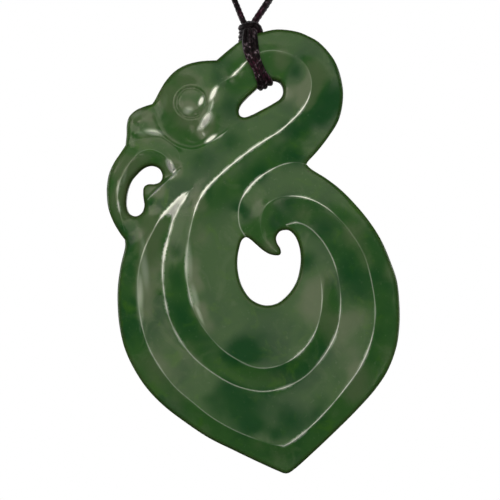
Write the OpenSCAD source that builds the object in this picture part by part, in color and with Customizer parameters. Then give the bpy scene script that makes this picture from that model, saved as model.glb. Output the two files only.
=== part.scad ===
/* [Jade plate] */
// Depth of the plate behind its middle plane
back_depth = 2.2; // [1.8:0.1:2.8]
// Height of a valley, or of a step, over the middle plane
valley_h = 1.95; // [1.7:0.05:2.2]
// Height at which a ridge's slope reaches a free edge, before the edge is rounded
edge_h = 2.0; // [1.8:0.05:2.3]
// How far a slope runs on under its neighbour
lap = 0.5; // [0.3:0.1:0.8]
// Radius of the eye's ring groove
eye_r = 2.2; // [1.8:0.1:2.4]
// Width and depth of the eye's ring groove
eye_groove = 0.4; // [0.3:0.05:0.6]
// Rounding of the lips of the pierced holes
lip_r = 0.45; // [0.3:0.05:0.6]

/* [Cord] */
// Diameter of the braided cord
cord_d = 0.9; // [0.8:0.05:1]
// Spacing of the three lashing strands on the jade
strand_pitch = 0.95; // [0.92:0.01:1]
// Width of the knot that closes the loop behind the neck
nape_w = 8; // [6:1:10]
// Diameter of the knot that closes the loop behind the neck
nape_d = 2.8; // [2.4:0.1:3.4]

/* [Knot on the jade] */
// Radius of the knot about the line on which the pendant swings
knot_r = 1.2; // [1:0.05:1.25]
// Width of the knot along that line
knot_w = 3.2; // [2.8:0.1:3.4]
// Depth of the knot's foot, front to back
knot_foot = 3.1; // [2.8:0.1:3.3]

/* [Hidden] */
// The nape is the origin; the pendant swings on a line along X through this point
swing_at = [0, -120, -151];
// The jade's middle plane stands this far behind that line, so that its weight hangs straight under it
jade_at = swing_at + [0, 0.12, 0];
// The knot's foot and the jade's edge under it both slope by this angle
edge_slope = 23;
// Steps between two rows of a table
steps = 3;
cord_sides = 8;
eye_at = [-8.75, -10.9];

// Columns of the section tables. Each row is one cut across a carved band, in X and Z from the swing line:
// the foot on the left of the way the band runs, its ridge, and the foot on the right. Then come the ridge's
// height over the middle plane and the rounding of each foot. A foot with no rounding is a valley.
left = [0, 1];
ridge = [2, 3];
right = [4, 5];
ridge_h = 6;
left_r = 7;
right_r = 8;

// Neck and body: from behind the head over the cord hole, down and round the centre hole
body_rows = [
    [-5.6, -5.2, -4.6, -8.2, -3.0, -12.6, 2.6, 0.7, 0.5],
    [-3.1, -3.0, -1.8, -6.1, -0.3, -10.2, 2.9, 0.7, 0.5],
    [-0.7, -1.4, 0.0, -4.5, 1.2, -8.8, 2.9, 0.7, 0.5],
    [4.1, 0.1, 3.5, -3.1, 3.5, -7.7, 2.9, 0.7, 0.5],
    [6.9, -0.2, 5.6, -3.5, 4.2, -7.8, 2.9, 0.7, 0.5],
    [9.7, -1.6, 7.2, -4.5, 4.7, -8.3, 2.9, 0.7, 0.5],
    [12.2, -4.1, 8.6, -6.1, 5.0, -9.0, 2.9, 0.7, 0.5],
    [13.9, -8.4, 9.2, -8.4, 4.9, -9.9, 2.9, 0.7, 0.5],
    [13.7, -11.9, 8.5, -10.9, 3.9, -10.8, 2.9, 0.7, 0.5],
    [12.1, -15.5, 6.9, -13.1, 2.1, -11.8, 2.9, 0.7, 0.5],
    [10.1, -18.1, 4.4, -15.2, -0.3, -13.0, 2.9, 0.7, 0.0],
    [8.7, -19.6, 2.6, -16.3, -2.1, -13.6, 2.9, 0.5, 0.0],
    [5.1, -20.1, 0.5, -17.6, -3.8, -15.1, 2.9, 0.0, 0.0],
    [3.0, -21.0, -1.8, -19.5, -5.9, -16.7, 2.9, 0.0, 0.0],
    [0.9, -22.5, -4.0, -21.3, -8.4, -17.8, 2.9, 0.0, 0.0],
    [-0.8, -24.5, -6.4, -23.7, -10.4, -20.4, 2.9, 0.0, 0.0],
    [-1.7, -27.7, -7.9, -26.5, -12.0, -24.0, 2.9, 0.0, 0.0],
    [-1.4, -30.0, -8.9, -30.0, -11.8, -30.0, 2.9, 0.0, 0.0],
    [-1.1, -31.6, -9.1, -31.6, -12.3, -31.8, 2.9, 0.3, 0.0],
    [-1.8, -35.3, -9.5, -35.5, -13.4, -36.0, 2.9, 0.6, 0.0],
    [-1.2, -38.4, -9.0, -39.6, -13.0, -39.6, 2.9, 0.6, 0.0],
    [0.1, -40.3, -8.1, -42.7, -12.2, -43.2, 2.9, 0.6, 0.0],
    [1.2, -41.0, -6.4, -45.4, -10.3, -46.6, 2.9, 0.6, 0.0],
    [2.4, -41.3, -3.3, -48.5, -6.8, -50.5, 2.9, 0.6, 0.0],
    [3.6, -41.2, 1.2, -50.6, 0.5, -54.0, 2.9, 0.6, 0.0],
    [4.5, -40.8, 4.8, -50.1, 5.3, -53.6, 2.9, 0.6, 0.0],
    [5.6, -39.9, 7.5, -48.4, 9.2, -51.0, 2.9, 0.6, 0.0],
    [6.6, -38.6, 9.5, -45.8, 12.0, -47.4, 2.9, 0.6, 0.0],
    [7.5, -36.0, 10.8, -40.4, 13.6, -40.6, 2.9, 0.6, 0.0],
    [7.7, -34.2, 10.5, -36.9, 13.1, -36.3, 2.7, 0.6, 0.0],
    [7.4, -32.3, 9.4, -34.2, 11.9, -33.2, 2.4, 0.6, 0.0],
    [6.8, -30.8, 8.0, -31.9, 9.9, -30.6, 2.2, 0.5, 0.0],
    [6.0, -30.1, 6.6, -29.8, 7.0, -29.0, 2.1, 0.3, 0.0],
    [5.2, -30.0, 5.6, -29.6, 6.0, -29.0, 2.1, 0.3, 0.0],
];
// Tail down the left side, from under the neck to the point at the foot
tail_rows = [
    [-8.4, -24.0, -8.6, -23.8, -12.2, -22.4, 2.4, 0.0, 0.0],
    [-9.6, -25.1, -10.7, -25.4, -14.7, -24.8, 2.5, 0.0, 0.0],
    [-11.2, -27.5, -13.2, -28.1, -16.6, -28.2, 2.65, 0.0, 0.3],
    [-12.0, -30.3, -15.0, -31.1, -18.7, -31.5, 2.8, 0.0, 0.6],
    [-13.3, -35.1, -16.6, -35.7, -19.4, -35.3, 2.9, 0.0, 0.7],
    [-13.0, -39.6, -16.7, -40.3, -20.0, -40.5, 2.9, 0.0, 0.7],
    [-11.9, -43.7, -15.8, -45.6, -19.5, -45.6, 2.9, 0.0, 0.7],
    [-10.2, -46.8, -13.6, -50.3, -17.5, -50.9, 2.9, 0.0, 0.7],
    [-7.4, -50.0, -10.1, -54.6, -13.1, -56.5, 2.9, 0.0, 0.7],
    [-4.1, -52.4, -5.7, -58.0, -7.9, -60.2, 2.9, 0.0, 0.7],
    [-0.8, -53.8, -1.1, -60.5, -2.4, -63.2, 2.9, 0.0, 0.7],
    [3.8, -53.9, 5.1, -62.3, 5.7, -66.7, 2.9, 0.0, 0.7],
];
// Tail up the right side, from the point at the foot to the tip of the hook
hook_rows = [
    [3.8, -53.9, 5.1, -62.3, 5.7, -66.7, 2.9, 0.0, 0.7],
    [8.0, -52.1, 10.2, -58.2, 13.0, -60.0, 2.9, 0.0, 0.7],
    [10.5, -49.7, 14.6, -53.3, 17.4, -55.2, 2.9, 0.0, 0.7],
    [12.8, -45.8, 17.6, -48.3, 21.2, -50.1, 2.9, 0.0, 0.7],
    [13.5, -42.3, 18.6, -44.4, 22.4, -45.0, 2.9, 0.0, 0.7],
    [13.6, -39.2, 18.6, -40.2, 22.2, -39.9, 2.9, 0.0, 0.7],
    [12.6, -35.0, 17.4, -34.5, 20.7, -33.8, 2.9, 0.0, 0.7],
    [10.8, -31.5, 15.0, -30.3, 17.3, -27.8, 2.9, 0.0, 0.7],
    [8.3, -29.3, 11.7, -26.9, 13.5, -23.9, 2.9, 0.0, 0.7],
    [6.4, -29.7, 8.9, -25.3, 10.2, -21.5, 2.9, 0.2, 0.5],
    [5.2, -29.9, 6.4, -24.9, 7.8, -20.1, 2.9, 0.5, 0.0],
    [4.3, -30.5, 4.3, -25.2, 5.1, -20.1, 2.85, 0.5, 0.0],
    [4.0, -31.2, 2.7, -26.1, 1.8, -21.8, 2.8, 0.5, 0.0],
    [4.1, -31.8, 1.7, -28.1, -1.2, -25.6, 2.7, 0.5, 0.0],
    [4.4, -32.4, 1.7, -30.0, -1.4, -29.4, 2.6, 0.5, 0.0],
    [4.55, -32.8, 2.0, -31.3, -0.7, -31.0, 2.55, 0.5, 0.2],
    [4.6, -33.0, 2.6, -32.2, 0.6, -31.9, 2.5, 0.5, 0.4],
    [4.7, -33.4, 3.5, -33.1, 2.2, -33.4, 2.4, 0.4, 0.4],
    [4.75, -33.6, 4.6, -33.8, 4.3, -34.0, 2.3, 0.2, 0.2],
];
// Beak: from the neck over the beak hole and down the left side to the tail
beak_rows = [
    [-13.1, -21.8, -11.6, -20.4, -9.8, -19.8, 2.2, 0.3, 0.0],
    [-13.6, -20.8, -12.7, -18.6, -11.2, -17.2, 2.35, 0.5, 0.0],
    [-14.7, -20.3, -14.6, -17.7, -13.5, -15.0, 2.4, 0.5, 0.0],
    [-15.9, -20.5, -16.6, -18.0, -17.0, -14.8, 2.4, 0.5, 0.0],
    [-16.9, -21.5, -17.9, -19.4, -18.8, -17.5, 2.4, 0.5, 0.4],
    [-17.8, -22.7, -19.0, -21.1, -20.3, -19.8, 2.4, 0.5, 0.5],
    [-18.4, -24.4, -19.8, -23.5, -21.4, -23.0, 2.4, 0.5, 0.5],
    [-18.5, -26.4, -19.8, -25.9, -21.4, -25.8, 2.4, 0.5, 0.5],
    [-17.9, -27.5, -19.1, -28.0, -20.5, -28.6, 2.4, 0.5, 0.5],
    [-15.6, -27.0, -16.6, -30.3, -18.7, -31.4, 2.4, 0.3, 0.4],
];
// Outline of the head, from the notch over it round to its jaw
head_outline = [
    [-5.0, -4.6], [-7.5, -4.7], [-9.7, -5.3], [-11.3, -6.2], [-12.7, -7.7], [-13.6, -9.3], [-14.5, -11.0],
    [-14.0, -13.4], [-13.0, -15.4], [-11.0, -17.2], [-8.6, -17.7], [-6.0, -16.7], [-3.8, -15.1], [-1.4, -12.9],
    [-1.4, -11.0],
];
// Share of the head's outline, from the eye, and height over the middle plane of each layer of its dome
head_layers = [[1.0, 1.5], [0.95, 1.95], [0.75, 2.6], [0.45, 2.95]];
// Nose lobe: its two middles, and the radius and height of each layer of its dome
lobe_ends = [[-15.5, -13.8], [-16.0, -16.2]];
lobe_layers = [[2.7, 0.7 - back_depth], [2.7, 1.4], [2.3, 1.9], [1.2, 2.35]];
// Lip between the beak hole, the neck and the tail, with its tongue
lip_outline = [
    [-16.0, -23.2], [-15.3, -22.8], [-13.9, -22.6], [-12.6, -21.0], [-12.4, -16.2], [-7.6, -16.4], [-8.0, -22.0],
    [-12.0, -26.0], [-16.2, -27.4], [-15.9, -25.6],
];
lip_h = 1.8;
// Holes as round-ended slots: X, Z and radius of each end
cord_hole = [[3.3, -9.2, 1.7], [-0.5, -11.9, 1.15]];
beak_hole = [[-14.55, -21.7, 1.3], [-16.9, -23.4, 1.15], [-17.3, -26.2, 1.25]];

// Route of the middle lashing strand round the neck loop, in X, Y and Z: from the knot's foot at the front, down,
// through the cord hole and up the back. The last column is how steeply the next strand stands beside it.
strand_rows = [
    [-0.25, -1.9, -0.95, 0.42], [-0.15, -2.8, -1.5, 0.42], [0.1, -3.35, -2.6, 0.42], [0.45, -3.45, -4.3, 0.42],
    [0.9, -3.35, -5.8, 0.5], [1.4, -2.95, -7.3, 0.6], [1.7, -2.3, -8.7, 0.7], [1.8, -0.8, -9.15, 0.75],
    [1.8, 0.8, -9.15, 0.75], [1.7, 2.3, -8.85, 0.7], [1.35, 2.8, -7.5, 0.6], [0.7, 2.75, -5.0, 0.45],
    [0.2, 2.75, -3.0, 0.42], [-0.05, 2.75, -2.0, 0.42], [-0.2, 2.4, -1.2, 0.42], [-0.25, 1.85, -0.8, 0.42],
];
// Route of the neck cord's middle line, from the knot up the left side, round the nape and down the right
cord_route = [
    [-0.9, -119.2, -149.6], [-2.6, -117.2, -145.5], [-9, -110.2, -133], [-20, -97.5, -111.5], [-34, -82, -85],
    [-47, -67, -60], [-56, -53, -39], [-60, -39, -22], [-58, -26, -11], [-50, -14, -4.5], [-36, -5, -1.2],
    [-20, -1, 0], [-10, -0.1, 0], [-5, 0, 0], [5, 0, 0], [10, -0.1, 0], [20, -1, 0], [36, -5, -1.2],
    [50, -14, -4.5], [58, -26, -11], [60, -39, -22], [56, -53, -39], [47, -67, -60], [34, -82, -85],
    [20, -97.5, -111.5], [9, -110.2, -133], [3.4, -117.2, -145.5], [0.7, -119.2, -149.6],
];

// A curve through the rows of a table, with even steps between two rows
function between(a, b, c, d, t) =
    0.5 * (2 * b + (c - a) * t + (2 * a - 5 * b + 4 * c - d) * t * t + (3 * b - a - 3 * c + d) * t * t * t);
function row_at(rows, i) = rows[max(0, min(len(rows) - 1, i))];
function smooth_rows(rows, n) = [
    for (i = [0 : len(rows) - 2]) for (k = [0 : n - 1])
        between(row_at(rows, i - 1), rows[i], rows[i + 1], row_at(rows, i + 2), k / n),
    rows[len(rows) - 1],
];
function pick(row, columns) = [for (c = columns) row[c]];
function unit(v) = v / norm(v);
function lift(p, h) = [p.x, -h, p.y];

// One foot of a section: where it is free, its edge is rounded front and back, and where it is a valley its
// slope runs on under the neighbour
function foot(p, r, top, top_h) =
    let (
        way = unit(top - p),
        free = r > 0.05,
        round_r = min(r, 0.4 * norm(top - p)),
        foot_h = min(free ? edge_h : valley_h, top_h - 0.1),
        fall = (top_h - foot_h) / norm(top - p),
        out = p - way * lap
    )
    free
        ? [lift(p + way * round_r, foot_h), lift(p + way * round_r * 0.25, foot_h - round_r * 0.4),
            lift(p, foot_h - round_r), lift(p, round_r - back_depth), lift(p + way * round_r, -back_depth)]
        : [lift(out, foot_h - fall * lap), lift(out, -back_depth)];

function section(row) =
    let (top = pick(row, ridge))
    concat(
        foot(pick(row, left), row[left_r], top, row[ridge_h]),
        [lift(top, row[ridge_h])],
        foot(pick(row, right), row[right_r], top, row[ridge_h])
    );

// A carved band: each pair of neighbouring sections is closed into one convex piece
module band(rows) {
    cuts = [for (r = smooth_rows(rows, steps)) section(r)];
    for (i = [0 : len(cuts) - 2]) {
        points = concat(cuts[i], cuts[i + 1]);
        hull() polyhedron(points, [[for (k = [0 : len(points) - 1]) k]]);
    }
}

// A flat layer of an outline at a height over the middle plane
module layer(outline, h) {
    translate([0, -h, 0]) rotate([90, 0, 0]) linear_extrude(0.02) polygon(outline);
}

module head() {
    hull() {
        layer([for (p = head_outline) eye_at + 0.96 * (p - eye_at)], -back_depth);
        layer(head_outline, 0.6 - back_depth);
        for (l = head_layers) layer([for (p = head_outline) eye_at + l[0] * (p - eye_at)], l[1]);
    }
}

module eye_ring() {
    translate([eye_at.x, -head_layers[3][1], eye_at.y]) rotate([90, 0, 0]) rotate_extrude($fn = 40)
        polygon([[eye_r - eye_groove, 0.5], [eye_r, -eye_groove], [eye_r + eye_groove, 0.5]]);
}

module nose_lobe() {
    hull() for (at = lobe_ends) {
        translate([at.x, back_depth, at.y]) rotate([90, 0, 0])
            cylinder(r = lobe_layers[0][0] - 0.6, h = 0.02, $fn = 28);
        for (l = lobe_layers)
            translate([at.x, -l[1], at.y]) rotate([90, 0, 0]) cylinder(r = l[0], h = 0.02, $fn = 28);
    }
}

// A slot through the plate between two round ends, opened out at both faces
module slot_cut(a, b) {
    hull() for (end = [a, b]) translate([end[0], 0, end[1]]) rotate([90, 0, 0])
        cylinder(r = end[2], h = 8, center = true, $fn = 28);
    for (side = [1, -1]) hull() for (end = [a, b])
        translate([end[0], side * (back_depth + 0.3), end[1]]) rotate([90 * side, 0, 0]) {
            translate([0, 0, -0.6]) cylinder(r = end[2] + lip_r + 0.5, h = 0.1, $fn = 28);
            cylinder(r = end[2] + lip_r - 0.15, h = 0.1, $fn = 28);
            translate([0, 0, lip_r]) cylinder(r = end[2], h = 0.1, $fn = 28);
        }
}

module manaia_plate() {
    color("darkgreen") translate(jade_at) difference() {
        union() {
            band(body_rows);
            band(tail_rows);
            band(hook_rows);
            band(beak_rows);
            head();
            nose_lobe();
            translate([0, back_depth, 0]) rotate([90, 0, 0]) linear_extrude(back_depth + lip_h)
                polygon(lip_outline);
        }
        eye_ring();
        slot_cut(cord_hole[0], cord_hole[1]);
        slot_cut(beak_hole[0], beak_hole[1]);
        slot_cut(beak_hole[1], beak_hole[2]);
    }
}

// A tube swept along points, with flat ends. The hub lies inside the bend of the route, and turns the rings.
function tube_ring(points, i, r, hub) =
    let (
        p = points[i],
        along = unit(points[min(i + 1, len(points) - 1)] - points[max(i - 1, 0)]),
        side = unit(cross(along, p - hub)),
        up = cross(side, along)
    )
    [for (k = [0 : cord_sides - 1]) p + r * (cos(k * 360 / cord_sides) * side + sin(k * 360 / cord_sides) * up)];

module tube(points, r, hub) {
    n = len(points);
    rings = [for (i = [0 : n - 1]) each tube_ring(points, i, r, hub)];
    walls = [
        for (i = [0 : n - 2]) for (k = [0 : cord_sides - 1])
            let (a = i * cord_sides + k, b = i * cord_sides + (k + 1) % cord_sides)
            each [[a, b, b + cord_sides], [a, b + cord_sides, a + cord_sides]],
    ];
    start = [for (k = [cord_sides - 1 : -1 : 0]) k];
    end = [for (k = [0 : cord_sides - 1]) (n - 1) * cord_sides + k];
    polyhedron(rings, concat(walls, [start, end]));
}

module lashing(number) {
    across = (number - 2) * strand_pitch;
    route = [for (p = smooth_rows(strand_rows, 2)) [p[0] + across, p[1], p[2] + across * p[3]]];
    color("black") translate(jade_at) tube(route, cord_d / 2, [0.5 + across, 0, -5]);
}

module collar_knot() {
    color("black") translate(swing_at) hull() {
        intersection() {
            rotate([0, 90, 0]) cylinder(r = knot_r, h = knot_w - 0.4, center = true, $fn = 32);
            translate([-knot_w, -knot_w, 0]) cube(2 * knot_w);
        }
        rotate([0, -edge_slope, 0]) translate([-knot_w / 2, -knot_foot / 2, -0.85]) cube([knot_w, knot_foot, 0.5]);
    }
}

module neck_cord() {
    color("black") tube(smooth_rows(cord_route, steps), cord_d / 2, [0, -60, -60]);
}

module nape_knot() {
    color("black") rotate([0, 90, 0]) difference() {
        cylinder(d = nape_d, h = nape_w, center = true, $fn = 32);
        cylinder(d = cord_d + 0.1, h = nape_w + 1, center = true, $fn = 32);
    }
}

manaia_plate();
lashing(1);  // lashing_1
lashing(2);  // lashing_2
lashing(3);  // lashing_3
collar_knot();
neck_cord();
nape_knot();
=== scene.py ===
import math
import bmesh
import bpy
import numpy as np
from mathutils import Matrix, Vector
from mathutils.geometry import delaunay_2d_cdt
from mathutils.kdtree import KDTree


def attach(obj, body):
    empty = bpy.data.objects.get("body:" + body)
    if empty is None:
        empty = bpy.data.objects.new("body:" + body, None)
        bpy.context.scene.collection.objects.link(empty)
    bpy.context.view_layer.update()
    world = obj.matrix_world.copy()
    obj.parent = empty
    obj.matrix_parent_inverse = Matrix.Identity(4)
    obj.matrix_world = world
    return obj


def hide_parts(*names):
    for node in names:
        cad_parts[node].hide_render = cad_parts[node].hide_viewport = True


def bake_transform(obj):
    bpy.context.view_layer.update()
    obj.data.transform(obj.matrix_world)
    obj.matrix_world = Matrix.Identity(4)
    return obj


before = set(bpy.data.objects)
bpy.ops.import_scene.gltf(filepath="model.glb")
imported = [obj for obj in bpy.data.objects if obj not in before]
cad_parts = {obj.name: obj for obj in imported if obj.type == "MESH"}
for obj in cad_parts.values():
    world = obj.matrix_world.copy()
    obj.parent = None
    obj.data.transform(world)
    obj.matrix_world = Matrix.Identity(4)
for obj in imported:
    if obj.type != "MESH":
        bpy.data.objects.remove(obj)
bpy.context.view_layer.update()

# The jade plate
# One flat slab of nephrite, sawn, pierced and carved on its front with ridges, valleys and bevels, then
# polished all over. It is a bird-headed figure: head, nose lobe, hooked beak, neck, curled body and tail.

MM = 0.001
PHOTO_PX = 0.15                          # mm that a pixel of the photograph covers at the jade
SWING = Vector((0, -0.120, -0.151))      # the pendant swings on a line along X through here
SWING_PX = (250, 30)                     # where the photograph shows that point
PLATE_BACK = -2.2                        # mm, from the plate's middle plane
MIDDLE_Y = 0.12                          # mm that the middle plane stands behind the swing line
EDGE_ROUND = 0.5                         # mm, rounding of every free edge
OUTLINE_GROWTH = 0.05                    # mm that the outline stands outside the photograph's own edge

# How close the points of the carving stand
GRAIN = 0.22                             # mm between the points of a plain face
BACK_GRAIN = 1.2                         # mm between the points of the flat back
LINE_STEP = 0.16                         # mm between the points of a carved line
FINE_STEP = 0.05                         # mm between the points of a line that is only measured to
ONE_POINT = 0.02                         # mm, nearer points of two lines become one
TOO_NEAR = 0.08                          # mm, a point of a second line that is nearer is left out
WALL_ROWS = (0.06, 0.94)                 # share of the edge's height at which it has rows of points
EDGE_ROWS = (0.05, 0.19, 0.41, 0.69, 1)  # share of the rounding at which the face has rows of points
SIDE_ROWS = (0.12, 0.28, 0.45)           # mm from a carved line to the rows of points beside it
ROW_ROOM = 0.93                          # share of its distance that a row keeps from other lines
TRIANGLE_HEIGHT = 0.87                   # share of its side, for an even triangle

# Columns of the carved lines: photo x, photo y, height over the middle plane in mm. A row without a height
# keeps that of the row before.
OUTLINE = [
    # from the notch above the head, over the neck loop, to the notch at the shoulder
    [(216.9, 60.2, 1.8), (229.3, 49.7, 1.95), (240, 41.5, 2), (251, 35.8), (261.5, 32.5), (277.4, 29.5),
     (297.3, 31.8), (308, 36), (319.4, 42.7), (334.8, 61, 1.85), (342, 82.9, 1.72), (342.9, 99.5, 1.7),
     (338.7, 119.4, 1.78), (328.8, 136, 1.95), (317.2, 150.9, 1.9), (308, 161, 1.85), (306.4, 164.2, 1.8)],
    # down the right side, round the foot and up the left side to the notch under the beak
    [(306.4, 164.2, 1.8), (310.6, 168.5, 1.85), (326.3, 178.5, 1.95), (340.3, 189.3, 2), (354.3, 203.3),
     (368.4, 220.2), (381, 239.8), (390.2, 261), (396.8, 280.7), (399.4, 305), (399.3, 326),
     (396.4, 346.4), (387.7, 370), (375.7, 388.3), (357.1, 409.3), (336.4, 430), (311.9, 453.2),
     (295.9, 467.6, 1.95), (288.4, 472.7, 1.9), (284.6, 472.9), (278.6, 470.6, 1.95), (259.5, 462, 2),
     (234.4, 450), (208.9, 437.3), (184.9, 421.3), (164.2, 405.4), (147.7, 388.4), (134.8, 369.1),
     (125.2, 348.2), (119.9, 325.7, 1.8), (118, 303.3, 1.68), (118.3, 285.8, 1.64), (121.2, 265.1),
     (125.6, 245.9, 1.72), (125.3, 239.4, 1.8)],
    # round the beak to the notch under the nose lobe
    [(125.3, 239.4, 1.7), (119.8, 232.1, 1.55), (113.2, 220.5, 1.5), (108.5, 207), (107.1, 192),
     (107.3, 185.7), (109.4, 173.5), (114.5, 162.2), (120.6, 153.1), (125.9, 145, 1.45)],
    # round the nose lobe
    [(125.9, 145, 1.45), (126.9, 134.7, 1.4), (127.2, 124.5), (129.3, 116.8, 1.35), (135.9, 110.2),
     (145.1, 106.1), (152.5, 103.8)],
    # over the head
    [(152.5, 103.8, 1.35), (155.3, 99.6, 1.4), (159.4, 91.8, 1.45), (165.5, 81.6), (174.7, 71.4),
     (185.9, 64.8, 1.5), (200.2, 61.2, 1.6), (216.9, 60.2, 1.8)],
]
HOLES = {
    "cord": [
        (239, 110, 1.9), (240.2, 115.3, 1.85), (244.5, 117), (251.7, 114.8, 1.9), (262.2, 109.5, 2),
        (272.7, 103.8), (280.4, 98.5), (283.2, 92.8), (282.6, 86.1), (279.6, 81.8), (274.6, 79.9),
        (266.2, 80.8), (260.4, 84.4), (256.4, 88.6), (247.8, 96.6), (241.1, 104.3, 1.95), (239, 110, 1.9)],
    "beak": [
        (152, 165.3, 1.3), (159.4, 168.6, 1.35), (162.5, 175.6, 1.45), (160.4, 181.3, 1.5), (155, 183.7),
        (147.7, 184.1), (144, 187, 1.55), (143.2, 193, 1.6), (144, 201), (144.5, 205), (142.2, 212.2, 1.5),
        (136.4, 215.9, 1.4), (129.8, 213.9, 1.35), (126.5, 207, 1.3), (127.2, 192.6), (131, 181),
        (136.9, 173.5), (144.1, 167.3), (152, 165.3)],
    "centre": [
        (246, 237, 1.85), (242.1, 239.8, 1.9), (239.3, 248.2, 2), (237.6, 259.4, 2.05), (238.2, 272.1),
        (242.1, 286.1), (250.5, 298.7), (260.3, 304.3), (268.8, 305.5), (278.6, 302.9), (289.8, 293.1, 2),
        (296.8, 281.9, 1.95), (300.3, 269.3, 1.9), (301.3, 258, 1.85), (299.6, 245.4), (295.4, 235.6),
        (289.8, 230.3), (285.6, 229.7), (280, 231.4), (276.5, 237), (277.2, 242.6, 1.9), (280.4, 248.2),
        (281.2, 252.6), (279.6, 254.9), (271.6, 254.5), (264.5, 251), (256.1, 244, 1.85), (250.5, 239.1),
        (246, 237)],
}
RIDGES = {
    "body": [
        (225.5, 80.5, 2.6), (232.5, 76.5, 2.8), (238.3, 70.8, 2.9), (246, 62.6), (253, 56.6),
        (261.2, 52.6), (272.7, 50.7), (286.1, 53.1), (297.6, 58.4), (305.2, 65.1), (310, 74.6),
        (311.5, 86.1), (308.1, 99.5), (300.9, 111.2), (291.4, 121.1), (279.4, 131.5), (267, 139.2),
        (253.8, 147.9), (238.6, 159.3), (223.2, 172.2), (207.3, 188.1), (197.7, 204.1), (190.5, 230),
        (188.1, 245.9), (186.5, 266.7), (189.7, 293.8), (196.1, 314.5), (205.7, 330.4), (221.6, 348),
        (237.6, 359.1), (253.5, 366.3), (266.3, 367.4), (282.2, 363.9), (299.7, 352.8), (312.5, 336.8),
        (319.7, 317.7, 2.85), (322.1, 297, 2.7), (320.5, 277.8, 2.45), (316, 264, 2.2)],
    "tail": [
        (192.9, 188.1, 2.25), (185.8, 193, 2.28), (178.6, 199.3, 2.3), (168.5, 209.5, 2.42),
        (159.4, 220, 2.6), (152.3, 233.2, 2.8), (144.3, 250.7, 2.9), (138.7, 274.6), (138.7, 298.6),
        (141.9, 322.5), (148.3, 344.8), (159.4, 365.5), (175.4, 386.3), (192.9, 401.4), (212, 416.5),
        (234.4, 429.3), (253.5, 437.3), (269.4, 442.9), (284, 445.3)],
    "hook": [
        (284, 445.3, 2.9), (292.8, 440.5), (308.7, 427.7), (327.8, 408.6), (343.8, 389.4), (359.7, 367.1),
        (369.5, 345), (374.1, 325), (374.8, 304), (370.5, 277), (364.2, 255.2), (352.9, 235.6),
        (340.3, 220.2), (326.3, 207.5), (309.4, 198.8), (292.6, 196), (278.6, 197.7, 2.88),
        (267.3, 204, 2.82), (262, 214, 2.75), (260.8, 226, 2.65), (263.5, 237.6, 2.5), (270, 246, 2.35),
        (276.5, 251, 2.15)],
    "beak": [
        (173.6, 175, 1.8), (171.9, 165.3, 2.15), (167.6, 158.2, 2.25), (160.4, 152.4), (150.2, 149.2, 2.2),
        (140.6, 152, 2.15), (132.5, 160, 2.2), (125.6, 171, 2.25), (119.6, 183, 2.3), (117.9, 194),
        (119, 206, 2.25), (121.6, 218, 2.1), (124.6, 230, 1.9)],
    "brow": [
        (225.5, 80.5, 2.6), (218.5, 85.5), (214.5, 93), (212.2, 106, 2.55), (204.5, 122, 2.46),
        (193, 132.5, 2.22)],
    "lip": [
        (160.4, 134.4, 1.75), (164.2, 137.2, 1.9), (171.6, 143.2, 1.95), (180.4, 147.4), (192.3, 149.7),
        (203, 147.1, 2), (212, 141.6, 2.05), (225.6, 132.2), (233, 124.4, 2)],
    "step": [(180.3, 169.5, 2.1), (173, 176, 2.15), (162, 186), (151.2, 195.9, 2.1), (148, 199.5, 1.95)],
    "lobe": [(138.5, 121.5, 2.0), (145, 118, 2.1), (151, 116.8, 1.95)],
    "lobe_foot": [(134.5, 134, 1.85), (147, 131.2, 2.05), (157, 131.4, 2.0), (162, 134, 1.85)],
}
VALLEYS = {
    "body_side": [
        (192.9, 188.1, 2.25), (185, 197.7, 2.2), (175.4, 213.6, 2.05), (169.9, 232, 1.97),
        (165.3, 249.1, 1.95), (162.9, 269.9), (164.5, 293.8), (169.6, 317.7), (178.6, 336.8), (192.9, 356),
        (212, 371.9), (234.4, 384.7), (253.5, 390.2), (266.3, 391), (285.4, 387), (304.5, 376.7),
        (318.9, 362.3), (329.5, 347), (336.8, 331), (340.3, 312), (340.4, 291), (336, 268), (330.5, 253.8),
        (320.7, 238.4), (308, 226.5), (296.8, 222.4), (286.5, 224.5)],
    "hook_side": [
        (306.4, 164.2, 1.8), (296.8, 162.3, 1.85), (284.2, 164, 1.9), (270.2, 170.3, 1.95), (256.1, 180.2),
        (244.9, 193.5), (240, 203.3), (238.6, 214.5), (240.4, 227.2), (246, 237, 1.85)],
    "jaw": [
        (152.5, 103.8, 1.35), (155.3, 111.2, 1.5), (157.8, 121.4, 1.55), (161.6, 129.6), (165, 134.4),
        (173, 140.8), (181.2, 144.9, 1.6), (192.4, 147.2, 1.65), (202.2, 144.6, 1.75),
        (210.9, 139.2, 1.85), (224.7, 129.8, 1.9), (233.4, 120), (239, 110)],
    "second_cut": [(160.6, 294, 1.96), (165.6, 318.7, 1.97), (174.6, 337.6), (183.5, 350.5, 1.96)],
    "step_foot": [(178.6, 167.6, 1.6), (171.2, 174.2, 1.55), (160.2, 184.1), (149.6, 193.8, 1.6)],
    "beak_top": [
        (125.9, 145, 1.45), (134.7, 140.6, 1.7), (144.7, 138.3, 1.75), (155.3, 137.4), (165.5, 139.8),
        (173.7, 145.4), (178.8, 153), (180.3, 160.2, 1.8)],
}
EYE_PX = (191.7, 102.7)
# Columns: radius in mm, height in mm of each ring of the eye
EYE_RINGS = [(2.72, 2.6), (2.45, 2.57), (2.22, 2.3), (2.0, 2.58), (1.2, 2.72), (0.5, 2.76)]
HIGHLIGHT_RING = 3                          # the ring of the eye that gets a painted highlight line, counted from 0

LINE_SOFTNESS = 0.11                     # mm by which the polish softens a line
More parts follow.
